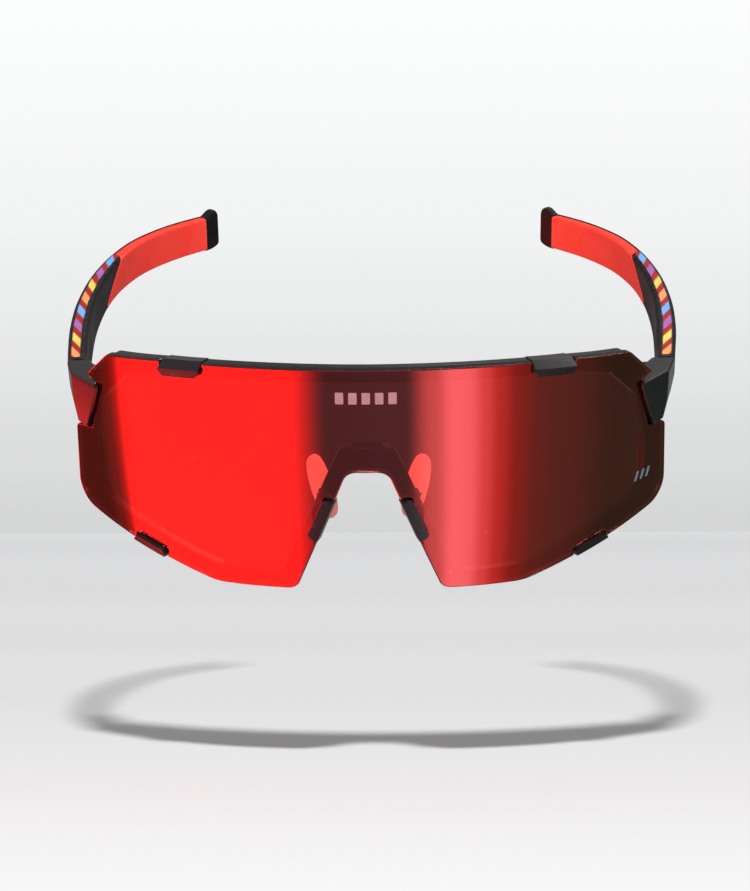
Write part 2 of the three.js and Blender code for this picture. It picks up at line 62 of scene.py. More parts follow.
# from worn millimetres to the frame's metres
hingeAt = {"x": 66.6, "y": 41.5, "z": -24.7}
hingeJoint = next(j for j in frame["joints"] if j["name"] == "left_temple_hinge")
lean = math.atan2(hingeJoint["axis"][1], hingeJoint["axis"][2])
leanSin, leanCos = math.sin(lean), math.cos(lean)
backShift = hingeJoint["pos_m"][1] * 1000 - (hingeAt["y"] * leanCos + hingeAt["z"] * leanSin)
upShift = hingeJoint["pos_m"][2] * 1000 - (hingeAt["z"] * leanCos - hingeAt["y"] * leanSin)


def toFrame(points):
    x, y, z = np.asarray(points, float).reshape(-1, 3).T
    placed = [x, y * leanCos + z * leanSin + backShift, z * leanCos - y * leanSin + upShift]
    return np.stack(placed, 1) / 1000


def turnToFrame(directions):
    x, y, z = np.asarray(directions, float).reshape(-1, 3).T
    return np.stack([x, y * leanCos + z * leanSin, z * leanCos - y * leanSin], 1)


# The front is drawn flat (along the brow, up, forward) and wrapped round the head form.
wrap = {"radius": 97.0, "browRadius": 272.0, "browCentre": -29.0, "tilt": math.radians(4)}


def wrapped(points):
    u, v, d = np.asarray(points, float).reshape(-1, 3).T
    angle = u / wrap["radius"]
    reach = wrap["radius"] + d
    centre = wrap["browCentre"]
    brow = ((v - centre) ** 2 - centre ** 2) / (2 * wrap["browRadius"])
    x = reach * np.sin(angle)
    y = wrap["radius"] - reach * np.cos(angle) + brow
    c, s = math.cos(wrap["tilt"]), math.sin(wrap["tilt"])
    return np.stack([x, y * c - v * s, y * s + v * c], 1)


def wrappedNormals(points, normals):
    step = 0.01
    tangents = [(wrapped(points + e * step) - wrapped(points - e * step)) / (2 * step) for e in np.eye(3)]
    tu, tv, td = tangents
    n = (normals[:, :1] * np.cross(tv, td) + normals[:, 1:2] * np.cross(td, tu)
         + normals[:, 2:] * np.cross(tu, tv))
    return n / np.linalg.norm(n, axis=1, keepdims=True)


# outlines
def rounded(corners, arc=0.16):
    # each corner is (u, v, radius)
    points = []
    for i, (u, v, radius) in enumerate(corners):
        at = Vector((u, v))
        if not radius:
            points.append(at)
            continue
        back = (Vector(corners[i - 1][:2]) - at).normalized()
        ahead = (Vector(corners[(i + 1) % len(corners)][:2]) - at).normalized()
        half = back.angle(ahead) / 2
        centre = at + (back + ahead).normalized() * radius / math.sin(half)
        start = at + back * radius / math.tan(half) - centre
        end = at + ahead * radius / math.tan(half) - centre
        sweep = start.angle_signed(end)
        count = max(2, math.ceil(abs(sweep) / arc))
        for k in range(count + 1):
            points.append(centre + Matrix.Rotation(-sweep * k / count, 2) @ start)
    return [(p.x, p.y) for p in points]


browLine = {"end": 66.0, "power": 2.1}


def frontOutline(half, top):
    # brow curve from left to right, then the right half's corners, then their mirror images
    drop = top - half[0][1]
    brow = []
    for u in np.linspace(-51, 51, 35):
        brow.append((float(u), top - drop * abs(u / browLine["end"]) ** browLine["power"], 0))
    return rounded(brow + list(half) + [(-u, v, r) for u, v, r in reversed(half)])


def grown(points, by):
    p = np.array(points)
    along = np.roll(p, -1, 0) - np.roll(p, 1, 0)
    along /= np.linalg.norm(along, axis=1, keepdims=True)
    return [tuple(q) for q in p + np.stack([-along[:, 1], along[:, 0]], 1) * by]


# mesh tools
def newPiece(name, data):
    obj = bpy.data.objects.new(name, data)
    scene.collection.objects.link(obj)
    return obj


def meshFrom(name, verts, faces):
    mesh = bpy.data.meshes.new(name)
    mesh.from_pydata([tuple(map(float, v)) for v in verts], [], faces)
    mesh.validate()
    mesh.update()
    return mesh


@contextmanager
def edited(mesh):
    bm = bmesh.new()
    bm.from_mesh(mesh)
    yield bm
    bm.to_mesh(mesh)
    bm.free()


def around(count):
    return [2 * math.pi * i / count for i in range(count)]


def outward(obj):
    with edited(obj.data) as bm:
        bmesh.ops.remove_doubles(bm, verts=bm.verts, dist=1e-4)
        bmesh.ops.recalc_face_normals(bm, faces=bm.faces)
    return obj


def prism(name, outline, low, high):
    n = len(outline)
    verts = [(x, y, z) for z in (low, high) for x, y in outline]
    sides = [(i, (i + 1) % n, n + (i + 1) % n, n + i) for i in range(n)]
    faces = [tuple(reversed(range(n))), tuple(range(n, 2 * n))] + sides
    return outward(newPiece(name, meshFrom(name, verts, faces)))


def loft(name, rings):
    n = len(rings[0])
    verts = [p for ring in rings for p in ring]
    faces = [tuple(reversed(range(n))), tuple(range(len(verts) - n, len(verts)))]
    for i in range(len(rings) - 1):
        for j in range(n):
            k = (j + 1) % n
            faces.append((i * n + j, i * n + k, (i + 1) * n + k, (i + 1) * n + j))
    return outward(newPiece(name, meshFrom(name, verts, faces)))


def settle(obj):
    bpy.context.view_layer.update()
    made = obj.evaluated_get(bpy.context.evaluated_depsgraph_get())
    mesh = bpy.data.meshes.new_from_object(made)
    obj.modifiers.clear()
    obj.data = mesh
    return obj


def carve(obj, tools, operation="DIFFERENCE"):
    for tool in tools:
        step = obj.modifiers.new("carve", "BOOLEAN")
        step.operation = operation
        step.solver = "EXACT"
        step.object = tool
    settle(obj)
    for tool in tools:
        bpy.data.objects.remove(tool)
    return obj


def soften(obj, width, segments=3, angle=28):
    with edited(obj.data) as bm:
        bmesh.ops.dissolve_limit(bm, angle_limit=math.radians(0.4), verts=bm.verts, edges=bm.edges)
    step = obj.modifiers.new("soften", "BEVEL")
    step.width = width
    step.segments = segments
    step.limit_method = "ANGLE"
    step.angle_limit = math.radians(angle)
    return settle(obj)


def gridCuts(bm, axis, step):
    values = [v.co[axis] for v in bm.verts]
    at = math.ceil(min(values) / step) * step + 0.0137
    normal = Vector((0, 0, 0))
    normal[axis] = 1
    while at < max(values):
        where = Vector((0, 0, 0))
        where[axis] = at
        geometry = bm.verts[:] + bm.edges[:] + bm.faces[:]
        bmesh.ops.bisect_plane(bm, geom=geometry, dist=1e-5, plane_co=where, plane_no=normal)
        at += step


def cornerNormals(bm, limit):
    # neighbours within the limit share a normal, weighted by their area
    cosLimit = math.cos(math.radians(limit))
    areas = {f: f.calc_area() for f in bm.faces}
    normals = []
    for face in bm.faces:
        for loop in face.loops:
            total = Vector((0, 0, 0))
            for other in loop.vert.link_faces:
                if other.normal.dot(face.normal) > cosLimit:
                    total += other.normal * areas[other]
            normals.append(total.normalized() if total.length else face.normal)
    return np.array(normals)


def finishPiece(obj, body, slotName, material, bendStep=None, limit=42):
    # flat pieces are cut into a fine grid and wrapped; all are placed in the frame with smooth corner normals
    mesh = obj.data
    with edited(mesh) as bm:
        if bendStep:
            gridCuts(bm, 0, bendStep[0])
            gridCuts(bm, 1, bendStep[1])
        bm.normal_update()
        bm.verts.index_update()
        normals = cornerNormals(bm, limit)
        points = np.array([v.co for v in bm.verts])
        loopVerts = [l.vert.index for f in bm.faces for l in f.loops]
    if bendStep:
        normals = wrappedNormals(points[loopVerts], normals)
        points = wrapped(points)
    mesh.vertices.foreach_set("co", toFrame(points).ravel())
    mesh.polygons.foreach_set("use_smooth", [True] * len(mesh.polygons))
    mesh.update()
    mesh.normals_split_custom_set(turnToFrame(normals).tolist())
    for m in (material if isinstance(material, (list, tuple)) else [material]):
        mesh.materials.append(m)
    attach(obj, body)
    return obj


def mirrored(obj, name):
    twin = newPiece(name, obj.data.copy())
    with edited(twin.data) as bm:
        for v in bm.verts:
            v.co.x = -v.co.x
        bmesh.ops.reverse_faces(bm, faces=bm.faces)
    return twin


# shared shader effects
def nodeGroup(name, inputs, outputs):
    group = bpy.data.node_groups.new(name, "ShaderNodeTree")
    for label, value in inputs.items():
        socket = group.interface.new_socket(name=label, in_out="INPUT", socket_type="NodeSocketFloat")
        socket.default_value = value
    for label in outputs:
        group.interface.new_socket(name=label, in_out="OUTPUT", socket_type="NodeSocketFloat")
    return group, group.nodes.new("NodeGroupInput"), group.nodes.new("NodeGroupOutput")


def wire(tree, *links):
    for start, end in links:
        tree.links.new(start, end)


def maths(tree, operation, first, second):
    node = tree.nodes.new("ShaderNodeMath")
    node.operation = operation
    for index, value in enumerate((first, second)):
        if isinstance(value, (int, float)):
            node.inputs[index].default_value = value
        else:
            tree.links.new(value, node.inputs[index])
    return node.outputs[0]


def mapRange(tree, source, low, high, toLow=0.0, toHigh=1.0):
    node = tree.nodes.new("ShaderNodeMapRange")
    for index, value in zip((1, 2, 3, 4), (low, high, toLow, toHigh)):
        if isinstance(value, (int, float)):
            node.inputs[index].default_value = value
        else:
            tree.links.new(value, node.inputs[index])
    tree.links.new(source, node.inputs[0])
    return node.outputs[0]


def objectNoise(tree, scaleSocket, detail=3.0):
    coords = tree.nodes.new("ShaderNodeTexCoord")
    noise = tree.nodes.new("ShaderNodeTexNoise")
    noise.inputs["Detail"].default_value = detail
    tree.links.new(coords.outputs["Object"], noise.inputs["Vector"])
    tree.links.new(scaleSocket, noise.inputs["Scale"])
    return noise


def makeGrain():
    # fine spark-eroded texture of a moulding, with a slow drift of gloss over it
    group, given, out = nodeGroup("mouldGrain", {"Grain Scale": 4200, "Cloud Scale": 60}, ["Height", "Cloud"])
    fine = objectNoise(group, given.outputs["Grain Scale"], 2)
    cloud = objectNoise(group, given.outputs["Cloud Scale"], 4)
    wire(group, (fine.outputs["Fac"], out.inputs["Height"]), (cloud.outputs["Fac"], out.inputs["Cloud"]))
    return group


def makeWear():
    # rubbed edges: convex places broken up by noise
    group, given, out = nodeGroup("rubbedEdges", {"Amount": 0.5, "Break Up": 700}, ["Mask"])
    geometry = group.nodes.new("ShaderNodeNewGeometry")
    edge = mapRange(group, geometry.outputs["Pointiness"], 0.52, 0.62)
    noise = objectNoise(group, given.outputs["Break Up"], 4)
    patches = mapRange(group, noise.outputs["Fac"], 0.42, 0.66)
    mask = maths(group, "MULTIPLY", maths(group, "MULTIPLY", edge, patches), given.outputs["Amount"])
    wire(group, (mask, out.inputs["Mask"]))
    return group


def makeDust():
    # sparse pale specks
    group, given, out = nodeGroup("dustSpecks", {"Speck Scale": 900, "Amount": 0.4}, ["Mask"])
    noise = objectNoise(group, given.outputs["Speck Scale"], 1)
    specks = mapRange(group, noise.outputs["Fac"], 0.76, 0.82)
    wire(group, (maths(group, "MULTIPLY", specks, given.outputs["Amount"]), out.inputs["Mask"]))
    return group


grainGroup, wearGroup, dustGroup = makeGrain(), makeWear(), makeDust()


def useGroup(tree, group, **values):
    node = tree.nodes.new("ShaderNodeGroup")
    node.node_tree = group
    for label, value in values.items():
        node.inputs[label.replace("_", " ")].default_value = value
    return node


def mixColour(tree, factor, first, second):
    node = tree.nodes.new("ShaderNodeMix")
    node.data_type = "RGBA"
    for index, value in ((6, first), (7, second)):
        if isinstance(value, tuple):
            node.inputs[index].default_value = (*value, 1)
        else:
            tree.links.new(value, node.inputs[index])
    tree.links.new(factor, node.inputs[0])
    return node.outputs[2]


def rampNode(tree, stops, interpolation="EASE"):
    ramp = tree.nodes.new("ShaderNodeValToRGB")
    ramp.color_ramp.interpolation = interpolation
    elements = ramp.color_ramp.elements
    for i, (at, colour) in enumerate(stops):
        element = elements[i] if i < 2 else elements.new(at)
        element.position = at
        element.color = (*colour, 1)
    return ramp


def readUv(tree, layerName):
    uv = tree.nodes.new("ShaderNodeUVMap")
    uv.uv_map = layerName
    split = tree.nodes.new("ShaderNodeSeparateXYZ")
    wire(tree, (uv.outputs["UV"], split.inputs[0]))
    return split.outputs


def writeUv(mesh, layerName, place):
    layer = mesh.uv_layers.new(name=layerName)
    for loop in mesh.loops:
        layer.data[loop.index].uv = place(loop.vertex_index)


def setSurface(tree, shader, colour, rough):
    wire(tree, (colour, shader.inputs["Base Color"]), (rough, shader.inputs["Roughness"]))


def newMaterial(name, **sockets):
    material = bpy.data.materials.new(name)
    material.use_nodes = True
    shader = material.node_tree.nodes["Principled BSDF"]
    for label, value in sockets.items():
        shader.inputs[label.replace("_", " ")].default_value = value
    return material, material.node_tree, shader


def addBump(tree, shader, height, strength, distance):
    bump = tree.nodes.new("ShaderNodeBump")
    bump.inputs["Strength"].default_value = strength
    bump.inputs["Distance"].default_value = distance
    wire(tree, (height, bump.inputs["Height"]), (bump.outputs["Normal"], shader.inputs["Normal"]))


def mouldedMaterial(name, look, **sockets):
    # a moulded surface: base colour with cloudiness, rubbed edges, dust, grain in roughness and bump
    material, tree, shader = newMaterial(name, **sockets)
    grain = useGroup(tree, grainGroup, Grain_Scale=look["grain"], Cloud_Scale=look["cloud"])
    wear = useGroup(tree, wearGroup, Amount=look["wear"])
    dust = useGroup(tree, dustGroup, Amount=look["dust"])
    clouds = mapRange(tree, grain.outputs["Cloud"], 0.3, 0.7)
    colour = mixColour(tree, clouds, look["colour"], look["shade"])
    colour = mixColour(tree, wear.outputs["Mask"], colour, look["rubbed"])
    colour = mixColour(tree, dust.outputs["Mask"], colour, look["speck"])
    rough = mapRange(tree, grain.outputs["Cloud"], 0.25, 0.75, look["smooth"], look["rough"])
    setSurface(tree, shader, colour, rough)
    addBump(tree, shader, grain.outputs["Height"], look["bump"], look["depth"])
    return material


rimLook = {"colour": (0.009, 0.006, 0.007), "shade": (0.013, 0.009, 0.010), "rubbed": (0.08, 0.065, 0.065),
           "speck": (0.3, 0.28, 0.27), "smooth": 0.22, "rough": 0.34, "grain": 5200, "cloud": 90,
           "wear": 0.35, "dust": 0.25, "bump": 0.12, "depth": 0.00003}
armLook = dict(rimLook, colour=(0.006, 0.0045, 0.005), shade=(0.009, 0.007, 0.0075), smooth=0.33, rough=0.47,
               grain=4200, bump=0.25, depth=0.00004)
gripLook = dict(rimLook, colour=(0.95, 0.040, 0.024), shade=(1.0, 0.055, 0.034), rubbed=(0.95, 0.2, 0.14),
                speck=(0.9, 0.35, 0.28), smooth=0.48, rough=0.62, grain=3000, cloud=130, wear=0.5,
                bump=0.3, depth=0.00005)
# the pads' glow strength and glow colour are a painted glow, seen only through the lens
padLook = dict(gripLook, colour=(0.95, 0.16, 0.13), shade=(0.98, 0.22, 0.18), smooth=0.35, rough=0.5,
               glow=1.9, paintedGlowColour=(1.0, 0.30, 0.26))
tipLook = dict(rimLook, colour=(0.006, 0.005, 0.005), shade=(0.010, 0.009, 0.009), smooth=0.5, rough=0.66,
               bump=0.35, depth=0.00005)
nylonLook = dict(rimLook, colour=(0.75, 0.72, 0.66), shade=(0.68, 0.65, 0.58), rubbed=(0.85, 0.82, 0.78),
                 speck=(0.4, 0.38, 0.35), smooth=0.4, rough=0.55)
rimPlastic = mouldedMaterial("rimPlastic", rimLook, Specular_IOR_Level=0.35, Coat_Weight=0.35,
                              Coat_Roughness=0.16)
bracketPlastic = mouldedMaterial("bracketPlastic", dict(rimLook, smooth=0.35, rough=0.5),
                                 Specular_IOR_Level=0.3)
armPlastic = mouldedMaterial("armPlastic", armLook, Specular_IOR_Level=0.12)
gripRubber = mouldedMaterial("gripRubber", gripLook, Specular_IOR_Level=0.3)
# the emission strength here is the pads' painted glow
padRubber = mouldedMaterial("padRubber", padLook, Subsurface_Weight=0.3, Emission_Strength=padLook["glow"])


def paintGlowBehindLens(material, colour):
    # painted glow: the pad rubber gives off light of its own wherever it is seen through the lens, standing
    # in for light from behind
    tree = material.node_tree
    path = tree.nodes.new("ShaderNodeLightPath")
    glow = mixColour(tree, path.outputs["Is Transmission Ray"], (0, 0, 0), colour)
    wire(tree, (glow, tree.nodes["Principled BSDF"].inputs["Emission Color"]))


paintGlowBehindLens(padRubber, padLook["paintedGlowColour"])
tipRubber = mouldedMaterial("tipRubber", tipLook, Specular_IOR_Level=0.25)
bearingNylon = mouldedMaterial("bearingNylon", nylonLook)


def turnedMetal(name, colour, rough):
    # lathe marks ring the part's own upright axis
    material, tree, shader = newMaterial(name, Metallic=1.0)
    coords = tree.nodes.new("ShaderNodeTexCoord")
    marks = tree.nodes.new("ShaderNodeTexNoise")
    stretch = tree.nodes.new("ShaderNodeMapping")
    stretch.inputs["Scale"].default_value = (300, 300, 9000)
    wire(tree, (coords.outputs["Object"], stretch.inputs["Vector"]),
         (stretch.outputs["Vector"], marks.inputs["Vector"]))
    marks.inputs["Scale"].default_value = 1
    shade = mixColour(tree, marks.outputs["Fac"], colour, tuple(c * 0.8 for c in colour))
    gloss = mapRange(tree, marks.outputs["Fac"], 0.3, 0.7, rough * 0.8, rough * 1.4)
    setSurface(tree, shader, shade, gloss)
    addBump(tree, shader, marks.outputs["Fac"], 0.2, 0.00002)
    return material


screwSteel = turnedMetal("screwSteel", (0.66, 0.66, 0.68), 0.24)
insertBrass = turnedMetal("insertBrass", (0.72, 0.5, 0.2), 0.3)

lensLook = {"mirror": (0.93, 0.105, 0.085), "mirrorShade": (0.90, 0.085, 0.07), "coat": 0.52,
            "tint": (0.93, 0.86, 0.84), "rough": 0.03, "ior": 1.58}


def mirrorCoat():
    # half-silvered red coating on the lens's front
    material, tree, shader = newMaterial("mirrorCoat", Metallic=lensLook["coat"], Transmission_Weight=1.0,
                                         IOR=lensLook["ior"])
    grain = useGroup(tree, grainGroup, Grain_Scale=1200, Cloud_Scale=26)
    dust = useGroup(tree, dustGroup, Speck_Scale=700, Amount=0.55)
    tone = mixColour(tree, grain.outputs["Cloud"], lensLook["mirror"], lensLook["mirrorShade"])
    tone = mixColour(tree, dust.outputs["Mask"], tone, (0.95, 0.4, 0.38))
    rough = mapRange(tree, grain.outputs["Cloud"], 0.3, 0.8, lensLook["rough"], lensLook["rough"] + 0.035)
    setSurface(tree, shader, tone, rough)
    return material


def tintedBack():
    material, tree, shader = newMaterial("tintedBack", Transmission_Weight=1.0, IOR=lensLook["ior"])
    grain = useGroup(tree, grainGroup, Cloud_Scale=40)
    deeper = tuple(c * 0.92 for c in lensLook["tint"])
    tone = mixColour(tree, grain.outputs["Cloud"], lensLook["tint"], deeper)
    setSurface(tree, shader, tone, mapRange(tree, grain.outputs["Cloud"], 0.3, 0.8, 0.03, 0.06))
    return material


lensFront, lensBack = mirrorCoat(), tintedBack()
print("materials ready")

# spacing of the fine grid that lets a flat piece bend, along the brow and upwards
bendGrid = {"wide": (2.6, 5.2), "small": (1.3, 2.6)}

# lens
lensShape = {"thick": 2.0, "edge": 0.32, "top": -2.1, "corners": [
    (66.0, -8.1, 3), (73.8, -15.6, 0.6), (69.8, -16.9, 0.5), (73.0, -29.4, 0.8),
    (79.2, -30.4, 1.2), (80.4, -51.2, 7), (37.5, -62.0, 14), (17.3, -60.5, 3.2), (4.7, -27.6, 3.2)]}
# hooks: place on the lens edge, direction of the edge, length; how far it stands outside the edge,
# how far in its lip starts and ends, how far forward it stands
hookShape = {"lipThick": 1.15, "through": 1.9, "edge": 0.24}
hooks = {
    "brow": {"at": (44.2, -4.7), "turn": -7.0, "length": 10.8,
             "above": 0.1, "from": 1.1, "lip": 2.9, "proud": 1.4},
    "cheek": {"at": (55.9, -57.38), "turn": 194.1, "length": 9.4,
              "above": 0.3, "from": 0.4, "lip": 2.1, "proud": 1.1},
    "nose": {"at": (9.68, -40.57), "turn": 110.9, "length": 11.4,
             "above": 0.5, "from": 0.1, "lip": 2.8, "proud": 1.3},
}
rimShape = {"gap": 0.12, "thick": 2.6, "top": -2.6, "edge": 0.5, "windowTop": -5.9, "corners": [
    (66.0, -8.6, 3), (73.6, -16.0, 2), (78.9, -31.0, 3), (80.1, -51.1, 7), (37.5, -61.7, 14),
    (17.7, -60.1, 3.2), (4.9, -27.5, 3.2)], "window": [
    (61.0, -12.3, 3), (69.5, -20.4, 3), (73.2, -33.0, 5), (73.6, -47.6, 6), (36.8, -57.6, 12),
    (21.3, -56.8, 3), (6.2, -21.6, 3.2)]}
rimFront = -(lensShape["thick"] + rimShape["gap"])
rimBack = rimFront - rimShape["thick"]


def besideEdge(hook, points, mirror):
    # x runs along the lens edge and y inwards from it
    c, s = math.cos(math.radians(hook["turn"])), math.sin(math.radians(hook["turn"]))
    u, v = hook["at"]
    return [(mirror * (u + x * c + y * s), v + x * s - y * c) for x, y in points]


def hookNotch(hook, mirror):
    half, deep = hook["length"] / 2 + 0.2, hookShape["through"] + 0.2
    corners = [(-half, -4, 0), (half, -4, 0), (half, deep, 0.4), (-half, deep, 0.4)]
    return prism("notch", besideEdge(hook, rounded(corners), mirror), -5, 1)


def makeLens():
    outline = frontOutline(lensShape["corners"], lensShape["top"])
    lens = prism("lensShield", outline, -lensShape["thick"], 0)
    carve(lens, [hookNotch(h, m) for h in hooks.values() for m in (1, -1)])
    soften(lens, lensShape["edge"], 3)
    finishPiece(lens, "front", "lens", [lensFront, lensBack], bendGrid["wide"])
    # the coating covers the outside; the back and the edge are bare tinted plastic
    for face in lens.data.polygons:
        face.material_index = 0 if face.normal.y < -0.05 and isOutside(face) else 1
    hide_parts("lens")


def isOutside(face):
    # compares the face with the direction from the head's middle
    middle = Vector((0, 0.03, face.center.z))
    return face.normal.dot((face.center - middle).normalized()) > 0.5


makeLens()

printShape = {"count": 5, "wide": 1.9, "pitch": 3.0, "low": -10.2, "high": -7.4, "thick": 0.03}
tickShape = {"at": (71.0, -43.5), "wide": 0.8, "tall": 2.6, "pitch": 1.9, "count": 3}


def plainBar(name, u, v, wide, tall, lean=0.0):
    thick = printShape["thick"]
    corners = [(u - wide / 2, v, 0.2), (u + wide / 2, v, 0.2), (u + wide / 2 + lean, v + tall, 0.2),
               (u - wide / 2 + lean, v + tall, 0.2)]
    return prism(name, rounded(corners), 0.01, thick)


def printedRow(name, shape, material, u, v, tall, lean):
    bars = []
    for i in range(shape["count"]):
        along = (i - (shape["count"] - 1) / 2) * shape["pitch"]
        bars.append(plainBar(name, u + along, v, shape["wide"], tall, lean))
    row = carve(bars[0], bars[1:], "UNION")
    finishPiece(row, "front", "lens", material, bendGrid["wide"])
    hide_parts("lens")


def printInk(name, colour):
    material, tree, shader = newMaterial(name)
    grain = useGroup(tree, grainGroup, Grain_Scale=2500, Cloud_Scale=260)
    tone = mixColour(tree, grain.outputs["Cloud"], colour, tuple(c * 0.7 for c in colour))
    gloss = mapRange(tree, grain.outputs["Cloud"], 0.3, 0.7, 0.4, 0.55)
    setSurface(tree, shader, tone, gloss)
    return material


printedRow("printedRow", printShape, printInk("paleInk", (0.46, 0.2, 0.2)), 0, printShape["low"],
           printShape["high"] - printShape["low"], 0.0)
printedRow("printedTicks", tickShape, printInk("coolInk", (0.16, 0.22, 0.26)), *tickShape["at"],
           tickShape["tall"], 0.9)
print("lens made")


# rim and hooks
def makeRim():
    rim = prism("fullRim", frontOutline(rimShape["corners"], rimShape["top"]), rimBack, rimFront)
    carve(rim, [prism("window", frontOutline(rimShape["window"], rimShape["windowTop"]), rimBack - 1, 1)])
    soften(rim, rimShape["edge"], 4)
    finishPiece(rim, "front", "frame", rimPlastic, bendGrid["wide"])
    return rim


def makeHook(name, hook, mirror):
    # a bar with the side profile of a hook, trimmed to the outline of its face
    half, lip, proud = hook["length"] / 2, hook["lip"], hook["proud"]
    under = proud - hookShape["lipThick"]
    through, foot = hookShape["through"], rimBack + 0.2
    profile = [(0.4, foot), (-hook["above"], -1.4), (hook["from"], proud), (lip, proud), (lip, under),
               (through, under), (through, foot)]
    rings = []
    for x in (-half, half):
        flat = besideEdge(hook, [(x, y) for y, _ in profile], mirror)
        rings.append([(u, v, z) for (u, v), (_, z) in zip(flat, profile)])
    face = [(-half, -2, 0.3), (half, -2, 0.3), (half - 0.1, lip - 1.1, 0.3), (half - 1.0, lip, 0.4),
            (1.0 - half, lip, 0.4), (0.1 - half, lip - 1.1, 0.3)]
    trim = prism("face", besideEdge(hook, rounded(face), mirror), rimBack, proud + 1)
    body = carve(loft(name, rings), [trim], "INTERSECT")
    soften(body, hookShape["edge"], 3)
    return finishPiece(body, "front", "frame", rimPlastic, bendGrid["small"])


frontPieces = [makeRim()]
for side, mirror in (("Left", 1), ("Right", -1)):
    for label, hook in hooks.items():
        frontPieces.append(makeHook(f"{label}Hook{side}", hook, mirror))
print("rim and hooks made")

# end pieces and hinges
endShape = {"edge": 0.55, "rings": [
    (-27.4, [(67.6, 26.6), (70.0, 30.2), (71.7, 38.9), (67.6, 38.9), (63.9, 31.6)]),
    (-22.0, [(65.9, 24.1), (70.9, 30.4), (72.9, 38.9), (67.4, 38.9), (62.5, 30.2)]),
    (-15.7, [(64.1, 22.3), (71.0, 30.4), (73.2, 38.9), (67.4, 38.9), (61.4, 28.6)]),
    (-15.2, [(64.5, 22.9), (70.6, 30.5), (72.8, 38.9), (67.9, 38.9), (62.2, 28.9)])]}
hingeShape = {"knuckle": 2.3, "top": -18.3, "bottom": -27.5, "midTop": -21.3, "midBottom": -24.7,
              "washer": 0.3, "gap": 0.1, "screw": 0.7, "head": 1.35, "headDeep": 0.9,
              "sleeve": 1.3, "slack": 0.08}


def disc(radius, count=40):
    return [(hingeAt["x"] + radius * math.cos(a), hingeAt["y"] + radius * math.sin(a))
            for a in around(count)]


def makeEndPiece():
    rings = [[(x, y, z) for x, y in points] for z, points in endShape["rings"]]
    piece = loft("endPieceLeft", rings)
    outline = grown(frontOutline(lensShape["corners"], lensShape["top"]), 0.3)
    room = prism("room", outline, -lensShape["thick"] - 0.05, 0.3)
    with edited(room.data) as bm:
        gridCuts(bm, 0, bendGrid["wide"][0])
        gridCuts(bm, 1, bendGrid["wide"][1])
        for v, at in zip(bm.verts, wrapped([v.co for v in bm.verts])):
            v.co = at
    soften(piece, endShape["edge"], 4, 18)
    return carve(piece, [room])


def makeFrameKnuckle():
    h = hingeShape
    r, x, y = h["knuckle"], hingeAt["x"], hingeAt["y"]
    nose = [(x + r * math.cos(a), y + r * math.sin(a)) for a in np.linspace(0, math.pi, 21)]
    outline = nose + [(x - r, 33.2), (x + r, 33.2)]
    slot = h["washer"] + 2 * h["gap"]
    lower = prism("frameKnuckleLeft", outline, h["bottom"], h["midBottom"] - slot)
    carve(lower, [prism("upper", outline, h["midTop"] + slot, h["top"])], "UNION")
    soften(lower, 0.3, 3, 40)
    holes = [prism("hole", disc(h["screw"] + h["slack"]), h["bottom"] - 1, h["top"] + 1),
             prism("seat", disc(h["head"] + h["slack"]), h["top"] - h["headDeep"] - h["slack"], h["top"] + 1),
             prism("socket", disc(h["sleeve"] + h["slack"]), h["bottom"] - 1, h["midBottom"] - slot + 1)]
    return carve(lower, holes)


def makeScrew():
    h = hingeShape
    top, foot, shank, head = h["top"] - 0.1, h["bottom"] + 0.3, h["screw"], h["head"]
    seat = top - h["headDeep"] + 0.1
    profile = [(0, foot), (shank - 0.15, foot), (shank, foot + 0.2), (shank, seat), (head, seat),
               (head, top - 0.25), (head - 0.08, top - 0.1), (head - 0.25, top - 0.02), (0, top)]
    rings = [[(x, y, z) for x, y in disc(max(r, 0.01), 48)] for r, z in profile]
    screw = loft("hingeScrewLeft", rings)
    arms = []
    for wide, long in ((0.17, 0.85), (0.85, 0.17)):
        x, y = hingeAt["x"], hingeAt["y"]
        arms.append(prism("slot", [(x - wide, y - long), (x + wide, y - long), (x + wide, y + long),
                                   (x - wide, y + long)], top - 0.45, top + 1))
    return carve(screw, arms)


def bothSides(make, body, slotName, material, **options):
    # the left one is made and the right one is its mirror image; body may be the left temple
    left = make()
    right = mirrored(left, left.name.replace("Left", "Right"))
    finishPiece(left, body, slotName, material, **options)
    finishPiece(right, body.replace("left", "right"), slotName, material, **options)
    return left, right


for make in (makeEndPiece, makeFrameKnuckle):
    frontPieces += bothSides(make, "front", "frame", rimPlastic)
for piece in frontPieces:
    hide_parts("front_frame")
for screw, node in zip(bothSides(makeScrew, "front", "steel", screwSteel, limit=35),
                       ("hinge_screw_left", "hinge_screw_right")):
    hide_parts(node)
for side in ("left", "right"):
    for node, material in (("threaded_insert", insertBrass), ("hinge_sleeve", bearingNylon),
                           ("upper_washer", bearingNylon), ("lower_washer", bearingNylon)):
        mesh = frame["nodes"][f"{node}_{side}"].data
        mesh.materials.clear()
        mesh.materials.append(material)
print("end pieces and hinges made")

# temple arms
# stations: distance back, outer face, thickness, top edge, height
armShape = {"stations": np.array([
    (39.05, 73.3, 4.4, -15.2, 12.3), (48, 74.4, 4.9, -15.1, 11.6), (62, 75.8, 5.0, -14.9, 10.5),
    (77, 76.4, 4.9, -14.8, 9.6), (92.5, 75.7, 4.6, -14.75, 9.3), (105, 74.0, 4.2, -14.8, 9.5),
    (115.5, 71.8, 3.8, -15.1, 9.9), (126, 68.7, 3.5, -15.6, 10.2), (135, 64.9, 3.3, -16.3, 10.3),
    (144, 59.9, 3.2, -17.1, 10.3), (152, 54.1, 3.2, -17.9, 10.2), (158.5, 48.6, 3.2, -18.6, 10.0)]),
    "tipLength": 9.0, "flare": 1.6, "cut": 1.6, "tuck": 1.6, "tuckEnd": 0.13, "rings": 110}
gripShape = {"start": 0.385, "full": 0.52, "margin": 0.3, "shell": 1.0, "proud": 0.15, "round": 0.75}
stripShape = {"start": 0.022, "end": 0.53, "deep": 0.4, "edges": (0.75, 3.5)}
